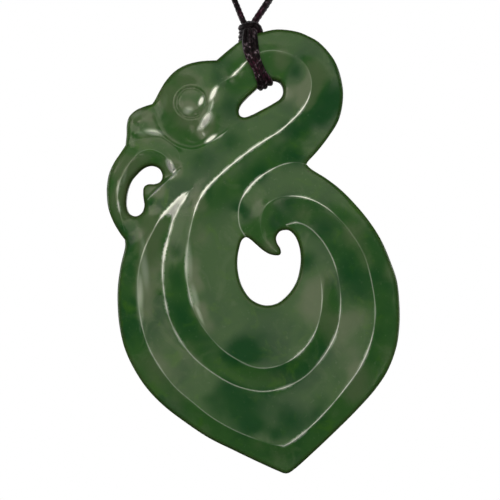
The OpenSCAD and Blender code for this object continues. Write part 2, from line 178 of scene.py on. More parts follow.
# Where it has softened the lines more. Columns: photo x, photo y, reach and softness in mm
WORN = [
    (139, 285, 4, 0.42), (142, 320, 3, 0.35), (164, 262, 3.2, 0.32), (166, 300, 2, 0.2),
    (187, 270, 3.2, 0.38), (192, 305, 2.5, 0.25), (213, 95, 1.8, 0.4), (209, 114, 1.8, 0.45),
    (196, 130, 1.8, 0.45), (146, 119, 2, 0.4), (150, 131, 2, 0.3), (172, 166, 1.6, 0.3),
    (150, 150, 2, 0.25), (119, 190, 2.5, 0.3), (181, 198.5, 2, 0.4), (172, 206.5, 2, 0.36),
    (322, 290, 3, 0.3), (262, 225, 3, 0.3), (272, 247, 2, 0.25), (309, 200, 2, 0.15), (210, 141, 1.2, 0.2)]
WORN_CORE = 1.8                          # above 1, a worn place is fully soft over its middle

# How bright the painted highlight along each carved line is, from 0 to 1
LINE_HIGHLIGHT = {
    "body": 0.22, "tail": 0.32, "hook": 0.34, "body_side": 0.48, "hook_side": 0.42, "step": 0.32,
    "brow": 0.1, "lip": 0.12, "beak": 0.16, "beak_top": 0.1, "lobe_foot": 0.1, "eye": 0.08}
HIGHLIGHT_REACH = 0.135                       # mm that the painted highlight goes to each side of a line
HIGHLIGHT_LIMIT = 0.5                         # mm, no line's painted highlight goes further than this
# Where a line's painted highlight is brighter or wider. Columns: photo x, photo y, reach in mm, highlight,
# mm to each side
LINE_HIGHLIGHT_SPOTS = {
    "head": [
        (220, 135.5, 1.8, 0.5, 0.16), (214, 92.5, 1, 0.6, 0.4), (212.4, 106, 1.6, 0.5, 0.2),
        (204.5, 121, 1.4, 0.6, 0.4)],
    "beak": [
        (172, 176, 1.2, 0.8, 0.18), (158, 189.5, 2, 0.9, 0.15), (118.5, 187, 2.4, 0.5, 0.18),
        (120, 206, 1.6, 0.6, 0.24), (172, 166, 1.4, 0.7, 0.4)],
    "neck": [
        (243, 65.5, 1.2, 0.9, 0.16), (236, 73, 1.2, 1, 0.2), (306, 102, 2.2, 0.9, 0.14),
        (301, 111, 3, 1, 0.16), (280, 130.5, 3.4, 1, 0.15), (266, 139, 3, 1, 0.16),
        (252, 148, 3.6, 1, 0.17), (239, 158.5, 3, 1, 0.17), (226, 170, 3.4, 1, 0.17),
        (215, 180, 3, 1, 0.17), (292, 120.5, 2.6, 1, 0.15), (258, 144.5, 2.4, 1, 0.17),
        (283, 164, 3.4, 0.45, 0.14), (269, 171, 2.4, 0.66, 0.15)],
    "body": [
        (206, 190, 3, 1, 0.2), (198, 207, 2.6, 0.8, 0.16), (190, 230, 4, 0.4, 0.15),
        (188, 262, 5, 0.5, 0.27), (192, 298, 4, 0.56, 0.2), (310, 340, 4, 0.8, 0.15),
        (300, 352, 3, 0.95, 0.155), (164.4, 290, 2.6, 0.6, 0.16), (167, 306, 2.4, 0.6, 0.2),
        (333, 340, 4.6, 0.9, 0.16), (340, 312, 3.4, 0.6, 0.15), (322, 357, 4, 0.65, 0.16),
        (285, 387, 3.4, 0.6, 0.18), (230, 355, 5, 0.36, 0.14), (265, 367, 4, 0.4, 0.14),
        (322, 300, 4, 0.45, 0.13), (179, 337, 3.4, 0.55, 0.2), (245, 363, 4, 0.36, 0.15),
        (262, 391, 5, 0.46, 0.15)],
    "tail": [
        (185.5, 194, 1.2, 0.6, 0.16), (180, 198.2, 1.8, 1, 0.32), (173, 205, 2, 1, 0.28),
        (166, 212.5, 2, 1, 0.24), (160, 220, 2, 0.6, 0.14), (145, 250, 2.4, 0.46, 0.16),
        (141, 318, 4, 0.5, 0.16), (159, 365, 4, 0.46, 0.15), (176, 213, 2.2, 0.95, 0.26),
        (171, 227, 3, 0.75, 0.2), (165.3, 250, 3.4, 0.9, 0.26), (163, 271, 3.4, 0.66, 0.2),
        (152, 350, 3, 0.5, 0.15)],
    "hook": [
        (248, 188, 3, 0.9, 0.19), (284, 445, 3, 0.5, 0.15), (365, 357, 6, 1, 0.155),
        (374.5, 312, 4, 0.44, 0.15), (348, 384, 5, 0.8, 0.14), (320, 416, 5, 0.8, 0.14),
        (297, 437, 4, 1, 0.16), (322, 205, 4, 0.55, 0.13), (256, 180, 3.4, 1, 0.17),
        (296, 224, 2.2, 0.55, 0.16), (305, 198, 3.4, 0.7, 0.16), (303, 433, 2, 1, 0.16)],
}
# Where a line's painted highlight fades out. Columns: photo x, photo y, reach in mm
HIGHLIGHT_FADES = [
    (191, 189.5, 0.9), (261, 214, 2.4), (262, 232, 2.6), (269, 246, 2), (319, 270, 2.6), (300, 60, 4),
    (228, 120, 3), (266, 442, 3), (197, 313, 2), (363, 252, 4), (345, 226, 4), (279, 198, 2),
    (340, 282, 3), (299, 162, 2)]
HIGHLIGHT_FADE_SHARE = 0.3                        # share of the painted highlight that is left in the middle of such a place
# Painted glints off the lines. Columns: photo x and y, half length and half width in mm, degrees of turn,
# highlight
PAINTED_GLINTS = {
    "head": [
        (213.5, 93.5, 1.9, 0.55, 66, 1), (205.8, 120.5, 2.3, 0.8, 58, 1), (216, 89, 1, 0.35, 42, 0.6),
        (204, 134, 0.6, 0.25, 120, 0.5), (209.5, 108, 1.8, 0.3, 74, 0.25), (211, 138.5, 1.6, 0.5, 38, 1),
        (201.5, 101, 1.2, 0.5, 66, 1), (188.5, 110.5, 1.4, 1, 20, 0.38), (165, 102, 2.2, 0.9, 80, 0.12),
        (211.5, 119, 1.6, 0.8, 60, 0.24), (200, 127.5, 1, 0.5, 56, 0.5)],
    "nose": [(154, 132, 2.4, 0.8, -8, 0.5), (137, 114, 2, 0.8, 30, 0.22), (142, 133, 1.6, 0.6, -8, 0.2)],
    "beak": [(171.5, 167, 2, 0.7, -60, 1), (125, 176, 2.6, 0.5, 76, 0.22)],
    "neck": [(238, 71, 2.4, 0.4, 42, 0.5)],
    "body": [
        (190, 263, 5.6, 0.8, 92, 0.25), (195, 296, 3.8, 0.9, 104, 0.28), (199, 312, 3.8, 0.5, 112, 0.34)],
    "tail": [
        (181, 199.5, 2, 0.62, 50, 1), (173.5, 208.5, 2, 0.75, 54, 1), (145, 268, 5.4, 1.1, 96, 0.3),
        (140.5, 294, 6.4, 0.9, 90, 0.34), (144, 246, 3, 0.8, 102, 0.2), (142, 320, 3, 0.5, 84, 0.24)],
}
# Clouds in the stone, partly painted shade and reflections, by part. Columns: photo x, photo y, reach in mm,
# depth (above 0 darker, below 0 paler)
CLOUDS_AND_PAINTED_LIGHT = {
    "head": [
        (229, 104, 2.6, 0.5), (237, 118, 2.4, 0.5), (204, 160, 4, 0.7), (228, 140, 3, 0.5),
        (216, 80, 2, 0.6), (188, 82, 3.4, -1.2), (165, 99, 3, -2.3), (189, 109, 2, -1.4),
        (186, 118, 3.4, -1), (204, 119, 2.6, -1.6), (212, 97, 2.2, -1.4), (206, 131, 3, -0.9),
        (166, 140, 2.4, -0.6), (166, 98, 2, -0.4), (177, 141, 2, -0.4)],
    "nose": [
        (136, 114, 2.4, -1.4), (151, 115, 1.6, -1.4), (150, 134, 3.4, -1), (141, 128, 1.8, 0.7),
        (158, 107, 2, 1.2), (137, 116, 1.8, -0.5)],
    "beak": [
        (123, 170, 3.4, -1.2), (125, 200, 3.4, -1.2), (170, 166, 2.6, -1), (154, 190, 2.4, -0.7),
        (158, 143, 2, 0.6), (121, 200, 2, -1), (176, 171, 2, -1), (130, 165, 2.6, -0.8),
        (145, 160, 2, -0.7), (124, 215, 2.4, -1), (158, 190, 1.6, -0.8), (130, 240, 1.6, 0.8),
        (122, 190, 2.4, -0.6), (127, 170, 2, -0.4), (160, 190, 2, -0.5)],
    "neck": [
        (335, 94, 3, 1), (290, 150, 3, 0.3), (322, 116, 2.4, 0.6), (333, 107, 2.4, 0.8),
        (297, 74, 2.2, 1.2), (252, 166, 4, 0.4), (222, 62, 3, 0.5), (288, 131, 2.4, 0.7),
        (319, 78, 3.6, -1), (305, 98, 3, -0.6), (281, 63, 2.4, -0.9), (255, 62, 2, -0.8),
        (312, 63, 1.8, -0.5), (311, 90, 2.4, -0.8), (306, 104, 2, -0.6), (280, 47, 3, -0.5),
        (303, 130, 2.4, 0.7), (316, 140, 2.4, 0.3), (297, 85, 3, -0.6), (285, 160, 3, 0.5),
        (320, 118, 2.4, 0.7), (300, 158, 2.4, 0.7), (313, 74, 3, -0.4), (284, 95, 2, -0.8),
        (258, 176, 2.2, 0.6), (245, 186, 1.8, 0.5), (265, 165, 2.4, 0.3), (240, 140, 3, 0.3)],
    "body": [
        (258, 350, 5, 0.8), (238, 352, 4, 1), (250, 374, 3, -0.6), (305, 262, 3, 0.9), (178, 280, 3, 0.5),
        (182, 312, 3, 0.5), (193, 262, 2.2, -0.9), (196, 286, 2.2, -1.1), (200, 308, 2.2, -1.1),
        (207, 324, 2.2, -0.9), (200, 203, 2, -0.8), (314, 306, 4.4, -1), (328, 276, 2.6, -0.5),
        (333, 330, 3.4, -0.9), (286, 374, 3, -0.3), (262, 398, 3.4, 0.6), (208, 374, 4, -0.4),
        (176, 250, 2, 0.5), (192, 275, 2, -0.9), (198, 312, 2, -0.6), (192, 352, 3, -0.6),
        (270, 374, 3, -0.6), (198, 238, 3, -0.7), (314, 285, 3, -0.7), (240, 394, 3, 0.6),
        (222, 382, 2.4, 0.5), (300, 350, 2.4, -0.6), (170, 320, 2, -0.5), (200, 215, 3, -0.6),
        (196, 195, 2, -0.7), (306, 306, 3, -0.3)],
    "tail": [
        (228, 402, 5, 0.9), (250, 418, 4, 0.8), (273, 437, 2.4, 0.7), (128, 336, 4, 0.3),
        (206, 403, 4, 0.25), (256, 428, 3, 0.7), (150, 222, 3.4, -1), (149, 245, 3, -1.6),
        (147, 268, 2.8, -1.5), (146, 290, 2.6, -1.2), (146, 312, 2.4, -0.9), (160, 374, 4.4, -0.6),
        (185, 405, 4, -0.4), (132, 288, 3, -0.3), (170, 335, 3, -0.4), (153, 360, 3, -0.5),
        (280, 452, 3, -0.5), (132, 364, 2.4, -0.6), (175, 395, 3, -0.4), (162, 262, 2, -0.8),
        (162, 285, 2, -0.6), (151, 232, 3, -0.4), (146, 302, 2.4, -0.3), (152, 345, 3, -0.3),
        (260, 440, 2.4, -0.6), (168, 226, 2.4, -0.8)],
    "hook": [
        (290, 421, 4.4, 0.9), (320, 402, 2.6, 0.6), (247, 213, 2.4, 1), (236, 205, 2, 0.6),
        (237, 216, 1.2, -0.8), (275, 222, 1.8, 0.8), (350, 290, 4, 0.5), (288, 204, 2.4, 0.6),
        (333, 234, 3, 0.5), (352, 318, 4, -1), (346, 352, 4.4, -0.6), (358, 380, 4, -0.7),
        (356, 232, 4, -0.6), (256, 203, 3, -0.5), (270, 247, 2.4, -1.2), (396, 270, 3, -0.8),
        (362, 372, 3, -0.5), (302, 212, 2.4, -0.6), (350, 270, 2.6, 0.6), (378, 335, 3, 0.4),
        (351, 392, 3.4, -0.8), (316, 416, 2.2, 0.6), (342, 382, 2.4, 0.6), (388, 352, 3, -0.5),
        (366, 262, 2.6, -0.6), (392, 368, 3, -0.3), (350, 235, 3, -0.4), (363, 250, 2, -0.4),
        (320, 227, 2.4, 0.7)],
}

# How the faces settle between the carved lines
LINE_HOLD = 1e4                          # how firmly a carved line keeps its height
FACE_SAG = 0.04                          # how strongly the faces between the lines hollow
FIRST_HEIGHT = 2.2                       # mm, where the faces start from
WEAKEST_PULL = 0.001                     # of a point on its neighbour
SETTLE_ROUNDS = 1500
SETTLED = 1e-7                           # the largest pull that is left once the heights have settled


def to_mm(row):
    """A row whose photo x and y are turned into mm from the swing point."""
    return Vector(((row[0] - SWING_PX[0]) * PHOTO_PX, (SWING_PX[1] - row[1]) * PHOTO_PX, *row[2:]))


def placed(*tables):
    """Every row of some tables, with its place in mm."""
    return [to_mm(row) for rows in tables for row in rows]


def curve_through(points, step, measured):
    """A smooth curve through points, in even steps that are measured along its first few columns."""
    closed = (points[0] - points[-1]).length < 1e-6
    before = points[-2] if closed else points[0] * 2 - points[1]
    after = points[1] if closed else points[-1] * 2 - points[-2]
    chain = [before, *points, after]
    path = []
    for p, a, b, q in zip(chain, chain[1:], chain[2:], chain[3:]):
        gaps = [max((v - u).length, 1e-6) ** 0.5 for u, v in ((p, a), (a, b), (b, q))]
        lead = ((a - p) / gaps[0] - (b - p) / (gaps[0] + gaps[1])) * gaps[1] + b - a
        trail = ((q - b) / gaps[2] - (q - a) / (gaps[1] + gaps[2])) * gaps[1] + b - a
        for t in np.linspace(0, 1, max(2, math.ceil((b - a).length / (step * 0.25))), endpoint=False):
            path.append(a * (2 * t**3 - 3 * t**2 + 1) + lead * (t**3 - 2 * t**2 + t)
                        + b * (3 * t**2 - 2 * t**3) + trail * (t**3 - t**2))
    path.append(points[-1])
    return even_steps(path, step, measured)


def even_steps(path, step, measured=2):
    track = np.array(path)
    along = np.concatenate(([0], np.cumsum(np.linalg.norm(np.diff(track[:, :measured], axis=0), axis=1))))
    places = np.linspace(0, along[-1], max(2, round(along[-1] / step)) + 1)
    return np.column_stack([np.interp(places, along, track[:, k]) for k in range(track.shape[1])])


def carved_line(rows, step):
    """The even points of a carved line, in mm. A row without a height keeps that of the row before."""
    full = []
    for x, y, *height in rows:
        full.append((x, y, *(height or full[-1][2:])))
    return curve_through(placed(full), step, 2)


def closed_line(stretches):
    return np.concatenate([carved_line(rows, LINE_STEP)[:-1] for rows in stretches])


def eye_ring(radius, height):
    eye = to_mm(EYE_PX)
    turns = np.linspace(0, 2 * math.pi, max(12, round(2 * math.pi * radius / LINE_STEP)), endpoint=False)
    return np.column_stack([eye[0] + radius * np.cos(turns), eye[1] + radius * np.sin(turns),
                            np.full(len(turns), height)])


def inside(points, loop):
    """Which points lie inside a closed loop, by counting the loop's crossings to their right."""
    x, y = points[:, 0][:, None], points[:, 1][:, None]
    x0, y0 = loop[:, 0][None], loop[:, 1][None]
    x1, y1 = np.roll(loop[:, 0], -1)[None], np.roll(loop[:, 1], -1)[None]
    level = np.where(y1 == y0, 1e-12, y1 - y0)
    crosses = ((y0 > y) != (y1 > y)) & (x < (x1 - x0) * (y - y0) / level + x0)
    return crosses.sum(axis=1) % 2 == 1


def tree_of(points):
    tree = KDTree(len(points))
    for i, p in enumerate(points):
        tree.insert((p[0], p[1], 0), i)
    tree.balance()
    return tree


def distance_to(tree, points):
    return np.array([tree.find((p[0], p[1], 0))[2] for p in points])


def away_from(points, x, y):
    return np.hypot(points[:, 0] - x, points[:, 1] - y)


def side_rows(line, offset, closed=False):
    """Two rows of points beside a line, one on each side, at one offset."""
    flat = line[:, :2]
    ahead = np.roll(flat, -1, axis=0) - np.roll(flat, 1, axis=0)
    if not closed:
        ahead[0] = flat[1] - flat[0]
        ahead[-1] = flat[-1] - flat[-2]
    across = np.column_stack([-ahead[:, 1], ahead[:, 0]]) / np.linalg.norm(ahead, axis=1)[:, None]
    return [flat + across * offset * way for way in (1, -1)]


class Relief:
    """A triangulated sheet that follows the carved lines, and the heights it settles to between them."""

    def __init__(self, rims, lines, rings, grain):
        self.rims = rims
        self.grain = grain
        self.fixed = [(x, y, h) for rim in rims for x, y, h in rim]
        self.edges = []
        start = 0
        for rim in rims:
            count = len(rim)
            self.edges += [(start + k, start + (k + 1) % count) for k in range(count)]
            start += count
        self.rim_count = start
        taken = tree_of(self.fixed)
        for line in lines:
            self.add_line(line, taken, closed=False)
        for ring in rings:
            self.add_line(ring, taken, closed=True)
        self.fixed_count = len(self.fixed)
        self.add_free(lines + rings)
        self.triangulate()

    def add_line(self, line, taken, closed):
        """The points and edges of a carved line. Where it runs into a rim it joins the rim's own point."""
        names = []
        for x, y, h in line:
            near = taken.find((x, y, 0))
            if near[2] < ONE_POINT:
                names.append(near[1])
            elif near[2] > TOO_NEAR:
                names.append(len(self.fixed))
                self.fixed.append((x, y, h))
        self.edges += list(zip(names, names[1:] + (names[:1] if closed else [])))

    def add_free(self, lines):
        """Rows of points along the rounded edge and beside the carved lines, then an even grid between."""
        rims = tree_of([p for rim in self.rims for p in rim])
        carved = tree_of(self.fixed)
        free = np.zeros((0, 2))

        def keep(points, rim_gap, line_gap, own_gap):
            """Adds the points on the jade that stand far enough from rims, lines and one another."""
            nonlocal free
            points = points[self.within(points)]
            points = points[distance_to(rims, points) > rim_gap]
            points = points[distance_to(carved, points) > line_gap]
            if len(free):
                points = points[distance_to(tree_of(free), points) > own_gap]
            free = np.concatenate([free, points])

        for share in EDGE_ROWS:
            offset = share * EDGE_ROUND
            for rim in self.rims:
                for row in side_rows(rim, offset, closed=True):
                    keep(row, offset * ROW_ROOM, 0.1, offset * 0.25)
        for offset in SIDE_ROWS:
            for line in lines:
                for row in side_rows(line, offset):
                    keep(row, EDGE_ROUND * 0.9, offset * ROW_ROOM, offset * 0.6)
        low = np.min(self.rims[0], axis=0)
        high = np.max(self.rims[0], axis=0)
        rows = np.arange(low[1], high[1], self.grain * TRIANGLE_HEIGHT)
        grid = np.array([(x, y) for k, y in enumerate(rows)
                         for x in np.arange(low[0] + (k % 2) * self.grain / 2, high[0], self.grain)])
        keep(grid, EDGE_ROUND + self.grain / 2, self.grain * 0.7, self.grain * 0.7)
        self.free = free

    def within(self, points):
        kept = inside(points, self.rims[0])
        for rim in self.rims[1:]:
            kept &= ~inside(points, rim)
        return kept

    def triangulate(self):
        flat = [Vector(p[:2]) for p in self.fixed] + [Vector(p) for p in self.free]
        verts, _, faces, origin, _, _ = delaunay_2d_cdt(flat, self.edges, [], 0, 1e-5)
        self.flat = np.array([tuple(v) for v in verts])
        triangles = np.array([f for f in faces])
        middles = self.flat[triangles].mean(axis=1)
        self.triangles = triangles[self.within(middles)]
        self.known = np.full(len(verts), np.nan)
        for k, sources in enumerate(origin):
            known = [s for s in sources if s < self.fixed_count]
            if known:
                self.known[k] = self.fixed[known[0]][2]
        self.rim_names = {s: k for k, sources in enumerate(origin) for s in sources if s < self.rim_count}
        self.painted_highlight = np.zeros(len(verts))
        self.cloud_and_painted_light = np.zeros(len(verts))
        edge = [p for rim in self.rims for p in even_steps([*rim, rim[0]], FINE_STEP)]
        self.to_rim = distance_to(tree_of(edge), self.flat)

    def stiffness(self):
        """The cotangent weight of each edge, and the area round each point."""
        a, b, c = (self.flat[self.triangles[:, k]] for k in range(3))
        one, other = b - a, c - a
        twice = np.maximum(np.abs(one[:, 0] * other[:, 1] - one[:, 1] * other[:, 0]), 1e-9)
        corners = ((1, 2, one, other), (2, 0, c - b, a - b), (0, 1, a - c, b - c))
        tails = np.concatenate([self.triangles[:, p] for p, _, _, _ in corners])
        heads = np.concatenate([self.triangles[:, q] for _, q, _, _ in corners])
        pulls = np.concatenate([np.maximum((u * v).sum(axis=1) / twice / 2, WEAKEST_PULL)
                                for _, _, u, v in corners])
        area = np.bincount(self.triangles.ravel(), np.repeat(twice / 6, 3), len(self.flat))
        return tails, heads, pulls, area

    def settle(self, hold, target, push=0.0, spread=None):
        """Heights that are held to a target, pulled level with their neighbours and pushed up or down.

        They are found by conjugate gradients. A spread makes the pull stronger where it is larger."""
        tails, heads, pulls, area = self.stiffness()
        if spread is not None:
            pulls = pulls * (spread[tails] + spread[heads]) / 2
        count = len(self.flat)
        diagonal = np.bincount(tails, pulls, count) + np.bincount(heads, pulls, count) + hold

        def stretch(h):
            from_heads = np.bincount(tails, pulls * h[heads], count)
            from_tails = np.bincount(heads, pulls * h[tails], count)
            return diagonal * h - from_heads - from_tails

        h = target.copy()
        rest = hold * target + push * area - stretch(h)
        step = rest / diagonal
        way = step.copy()
        weight = rest @ step
        for _ in range(SETTLE_ROUNDS):
            pulled = stretch(way)
            amount = weight / (way @ pulled)
            h += amount * way
            rest -= amount * pulled
            if np.abs(rest).max() < SETTLED:
                break
            step = rest / diagonal
            after = rest @ step
            way = step + way * after / weight
            weight = after
        return h


def wear(relief):
    """How far the polish softens each point, in mm."""
    softness = np.full(len(relief.flat), LINE_SOFTNESS)
    for x, y, reach, most in placed(WORN):
        near = np.clip(1 - away_from(relief.flat, x, y) / reach, 0, 1)
        softness = np.maximum(softness, most * np.minimum(1, near * WORN_CORE))
    return softness


def paint_highlights(relief, highlight_ring):
    """Gives each point its painted highlight, first along the carved lines and then in the painted glints.
    """
    tracks = {name: carved_line(rows, FINE_STEP) for name, rows in {**RIDGES, **VALLEYS}.items()}
    tracks["eye"] = curve_through([Vector(row) for row in [*highlight_ring, highlight_ring[0]]], FINE_STEP, 2)
    spots = np.concatenate([tracks[name][:, :2] for name in LINE_HIGHLIGHT])
    painted_highlight = np.concatenate([np.full(len(tracks[name]), most) for name, most in LINE_HIGHLIGHT.items()])
    reaches = np.full(len(spots), HIGHLIGHT_REACH)
    for x, y, reach, most, side in placed(*LINE_HIGHLIGHT_SPOTS.values()):
        near = np.clip(1 - (away_from(spots, x, y) / reach) ** 2, 0, 1)
        painted_highlight = np.maximum(painted_highlight, most * near)
        reaches = np.maximum(reaches, side * near)
    for x, y, reach in placed(HIGHLIGHT_FADES):
        painted_highlight *= np.minimum(1, HIGHLIGHT_FADE_SHARE + (away_from(spots, x, y) / reach) ** 2)
    lines = tree_of(spots)
    for k, (x, y) in enumerate(relief.flat):
        for _, spot, away in lines.find_range((x, y, 0), HIGHLIGHT_LIMIT):
            relief.painted_highlight[k] = max(relief.painted_highlight[k], painted_highlight[spot] * (1 - (away / reaches[spot])**2))
    for x, y, long, wide, turn, most in placed(*PAINTED_GLINTS.values()):
        dx, dy = relief.flat[:, 0] - x, relief.flat[:, 1] - y
        c, s = math.cos(math.radians(turn)), math.sin(math.radians(turn))
        away = ((dx * c + dy * s) / long)**2 + ((dy * c - dx * s) / wide)**2
        relief.painted_highlight = np.maximum(relief.painted_highlight, most * np.clip(1 - away, 0, 1)**2)


def carve():
    """The carved front as a sheet, and the height of each of its points."""
    outer = closed_line(OUTLINE)
    outer[:, :2] = side_rows(outer, OUTLINE_GROWTH, closed=True)[0]
    rims = [outer] + [closed_line([hole]) for hole in HOLES.values()]
    lines = [carved_line(rows, LINE_STEP) for rows in [*RIDGES.values(), *VALLEYS.values()]]
    rings = [eye_ring(radius, height) for radius, height in EYE_RINGS]
    relief = Relief(rims, lines, rings, GRAIN)
    known = ~np.isnan(relief.known)
    hold = np.where(known, LINE_HOLD, 0)
    heights = relief.settle(hold, np.where(known, relief.known, FIRST_HEIGHT), push=-FACE_SAG)
    paint_highlights(relief, rings[HIGHLIGHT_RING])
    for x, y, reach, depth in placed(*CLOUDS_AND_PAINTED_LIGHT.values()):
        away = away_from(relief.flat, x, y) / reach
        relief.cloud_and_painted_light += depth * np.clip(1 - away**2, 0, 1)**2
    area = relief.stiffness()[3]
    return relief, relief.settle(area, heights, spread=wear(relief)**2 / 2)


def rounding(sheet):
    """How far the rounded edge falls back at each point of a sheet, in mm."""
    inset = np.minimum(sheet.to_rim, EDGE_ROUND)
    return EDGE_ROUND - np.sqrt(np.maximum(EDGE_ROUND**2 - (EDGE_ROUND - inset)**2, 0))


def finished_mesh(bm, name, place):
    """A smooth mesh from a bmesh in mm, put in its place in metres."""
    bmesh.ops.recalc_face_normals(bm, faces=bm.faces)
    bmesh.ops.transform(bm, verts=bm.verts, matrix=Matrix.Translation(place) @ Matrix.Scale(MM, 4))
    mesh = bpy.data.meshes.new(name)
    bm.to_mesh(mesh)
    bm.free()
    for polygon in mesh.polygons:
        polygon.use_smooth = True
    return mesh


def plate_mesh():
    """The carved front and the flat back, with the wall of the edge between their rims."""
    relief, heights = carve()
    back = Relief(relief.rims, [], [], BACK_GRAIN)
    bm = bmesh.new()
    rim, painted_highlight, cloud_and_painted_light = (bm.verts.layers.float.new(name) for name in ("rim", "painted_highlight", "cloud_and_painted_light"))
    sides = []
    for sheet, depth in ((relief, rounding(relief) - heights), (back, -PLATE_BACK - rounding(back))):
        verts = [bm.verts.new((x, y, z)) for (x, z), y in zip(sheet.flat, depth)]
        for k, v in enumerate(verts):
            v[rim] = sheet.to_rim[k]
            v[painted_highlight] = sheet.painted_highlight[k]
            v[cloud_and_painted_light] = sheet.cloud_and_painted_light[k]
        for face in sheet.triangles:
            bm.faces.new([verts[k] for k in face])
        sides.append([verts[sheet.rim_names[k]] for k in range(sheet.rim_count)])
    rings = [sides[0], [], [], sides[1]]
    for ring, share in zip(rings[1:3], WALL_ROWS):
        for front, rear in zip(*sides):
            ring.append(bm.verts.new(front.co.lerp(rear.co, share)))
            ring[-1][cloud_and_painted_light] = front[cloud_and_painted_light]
    start = 0
    for loop in relief.rims:
        for k in range(len(loop)):
            a, b = start + k, start + (k + 1) % len(loop)
            for one, other in zip(rings, rings[1:]):
                bm.faces.new([one[a], one[b], other[b], other[a]])
        start += len(loop)
    loose = [v for v in bm.verts if not v.link_faces]
    bmesh.ops.delete(bm, geom=loose, context="VERTS")
    return finished_mesh(bm, "jade_manaia", SWING + Vector((0, MIDDLE_Y * MM, 0)))


class Socket:
    """A shader value that takes Python's operators."""

    def __init__(self, looks, link):
        self.looks = looks
        self.link = link

    def maths(self, operation, *values):
        return self.looks.node("ShaderNodeMath", {"operation": operation}, dict(enumerate(values)))

    def __add__(self, other):
        return self.maths("ADD", self, other)

    def __radd__(self, other):
        return self.maths("ADD", other, self)

    def __sub__(self, other):
        return self.maths("SUBTRACT", self, other)

    def __rsub__(self, other):
        return self.maths("SUBTRACT", other, self)

    def __mul__(self, other):
        return self.maths("MULTIPLY", self, other)

    def __rmul__(self, other):
        return self.maths("MULTIPLY", other, self)


class Looks:
    """One material, whose nodes are added by a single method."""

    def __init__(self, name, **constants):
        self.material = bpy.data.materials.new(name)
        self.material.use_nodes = True
        self.tree = self.material.node_tree
        self.shader = self.tree.nodes["Principled BSDF"]
        for socket, value in constants.items():
            self.shader.inputs[socket.replace("_", " ")].default_value = value

    def node(self, kind, settings, inputs, out=0):
        """A node with its settings, and the values or links of its sockets by number or name."""
        made = self.tree.nodes.new(kind)
        for key, value in settings.items():
            setattr(made, key, value)
        for place, value in inputs.items():
            if isinstance(value, Socket):
                self.tree.links.new(value.link, made.inputs[place])
            else:
                made.inputs[place].default_value = value
        return Socket(self, made.outputs[out])

    def set(self, socket, value):
        self.tree.links.new(value.link, self.shader.inputs[socket])

    def attribute(self, name):
        return self.node("ShaderNodeAttribute", {"attribute_name": name}, {}, out="Fac")

    def noise(self, scale, detail=3, distortion=0.0):
        place = self.node("ShaderNodeTexCoord", {}, {}, out="Object")
        return self.node("ShaderNodeTexNoise", {}, {"Vector": place, "Scale": scale, "Detail": detail,
                                                    "Roughness": 0.55, "Distortion": distortion})

    def between(self, value, low, high, low_out=0.0, high_out=1.0):
        return self.node("ShaderNodeMapRange", {"interpolation_type": "SMOOTHSTEP"},
                         dict(enumerate((value, low, high, low_out, high_out))))

    def mix_colours(self, share, *colours):
        a, b = ((*colour, 1) if isinstance(colour, tuple) else colour for colour in colours)
        return self.node("ShaderNodeMix", {"data_type": "RGBA"}, {0: share, 6: a, 7: b}, out=2)


# Colours of the stone
DEEP_GREEN = (0.018, 0.098, 0.024)
# Columns: the noise's scale, detail and distortion, how the clouds and painted light thin it, its two
# limits, its most, colour
STONE_NOISE = [
    (95, 3, 0.6, 0.16, 0.36, 0.64, 1, (0.041, 0.142, 0.031)),       # soft patches
    (210, 5, 1.2, 0.1, 0.52, 0.72, 0.5, (0.087, 0.185, 0.066)),     # veins
    (310, 4, 0.8, 0, 0.54, 0.72, 0.7, (0.052, 0.175, 0.02)),        # brighter flakes
    (1900, 3, 0, 0, 0.6, 0.78, 0.22, (0.16, 0.28, 0.13))]           # specks
DARK_CLOUD_AND_SHADE = (0.01, 0.076, 0.022)
PALE_CLOUD_AND_REFLECTION = (0.11, 0.18, 0.08)
PAINTED_EDGE_SHADE = (0.045, 0.064, 0.015)
DIM_LINE_HIGHLIGHT = (0.68, 0.88, 0.68)
BRIGHT_LINE_HIGHLIGHT = (0.85, 1, 0.91)


